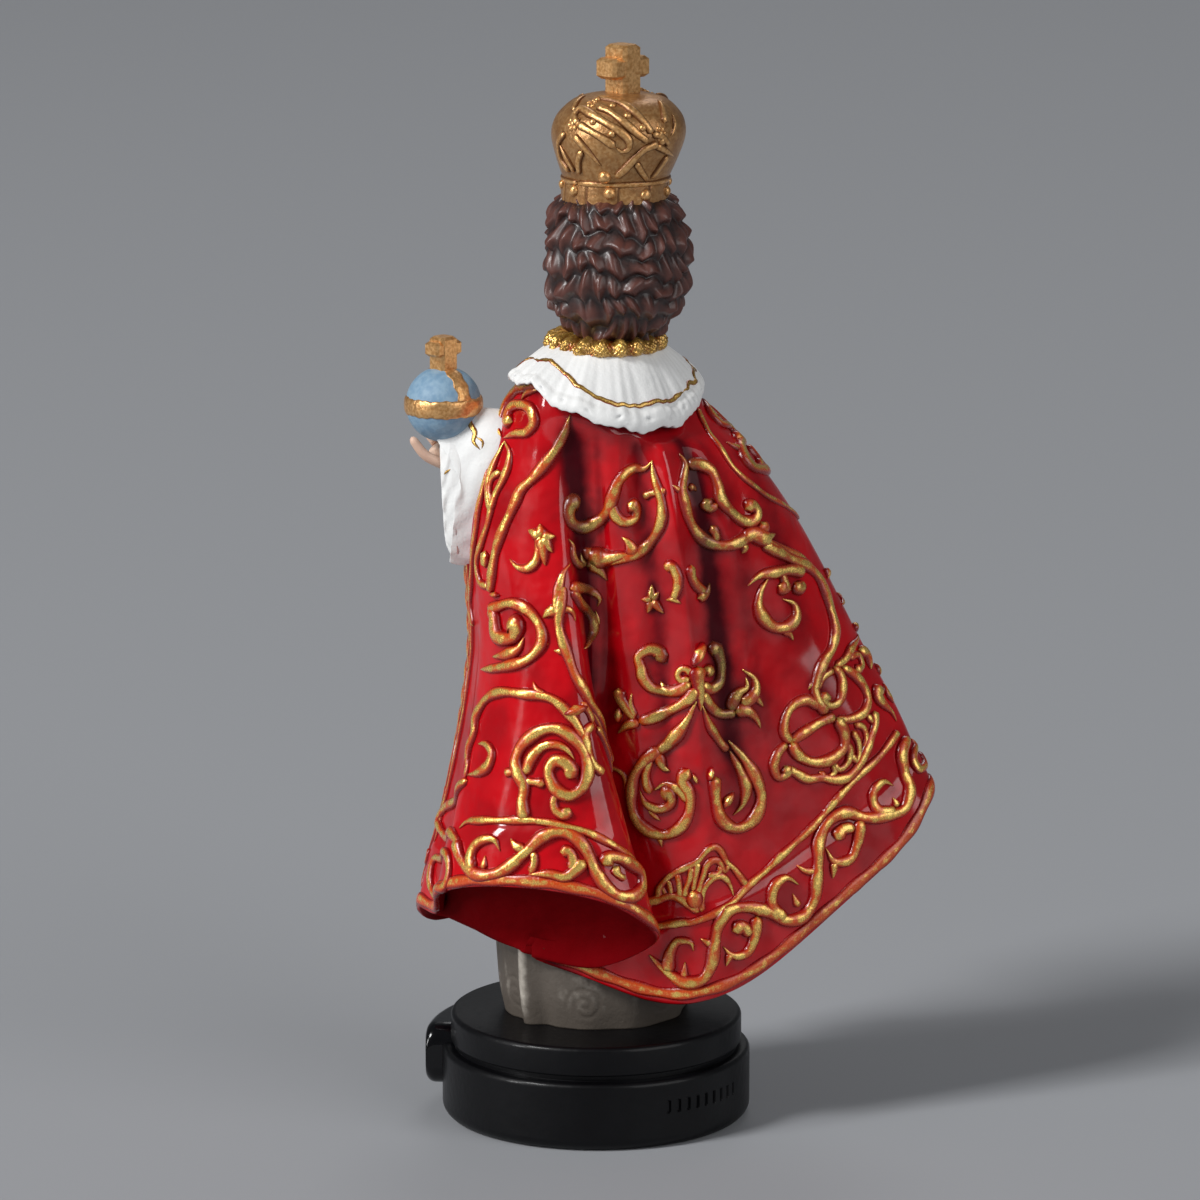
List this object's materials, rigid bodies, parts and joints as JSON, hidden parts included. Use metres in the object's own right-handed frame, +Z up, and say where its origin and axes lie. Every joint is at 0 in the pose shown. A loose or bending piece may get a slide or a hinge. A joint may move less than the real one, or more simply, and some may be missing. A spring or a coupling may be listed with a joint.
{
  "type": "infant of prague statue",
  "caption": "Small painted resin devotional statuette of a crowned child in a flaring cape, holding an orb, on a round two-tier plinth.",
  "frame": {"origin": "centre of the plinth's flat underside", "axes": "+Z up; the figure faces -Y, with its left hand and the orb at +X"},
  "size_m": [0.0583, 0.0527, 0.14],
  "materials": {
    "cape_red": "gloss crimson paint on cast resin, with a dark wash in the folds",
    "lining_red": "satin dark red paint under the cape",
    "scroll_gold": "antique gold paint on raised scrollwork and edges",
    "crown_gold": "satin bronze gold paint on the crown, crosses and band",
    "fur_white": "matte white paint on the collar and sleeves",
    "gown_white": "matte grey-white paint with a brown wash in the folds",
    "skin": "matte pale flesh paint",
    "hair_brown": "semi-gloss dark reddish-brown paint",
    "orb_blue": "matte mottled sky-blue paint",
    "base_black": "satin black paint on the plinth",
    "plate_black": "gloss black paint on the bare name plate"
  },
  "bodies": {
    "root": {"figure": "cape_red", "base": "base_black"}
  },
  "joints": []
}
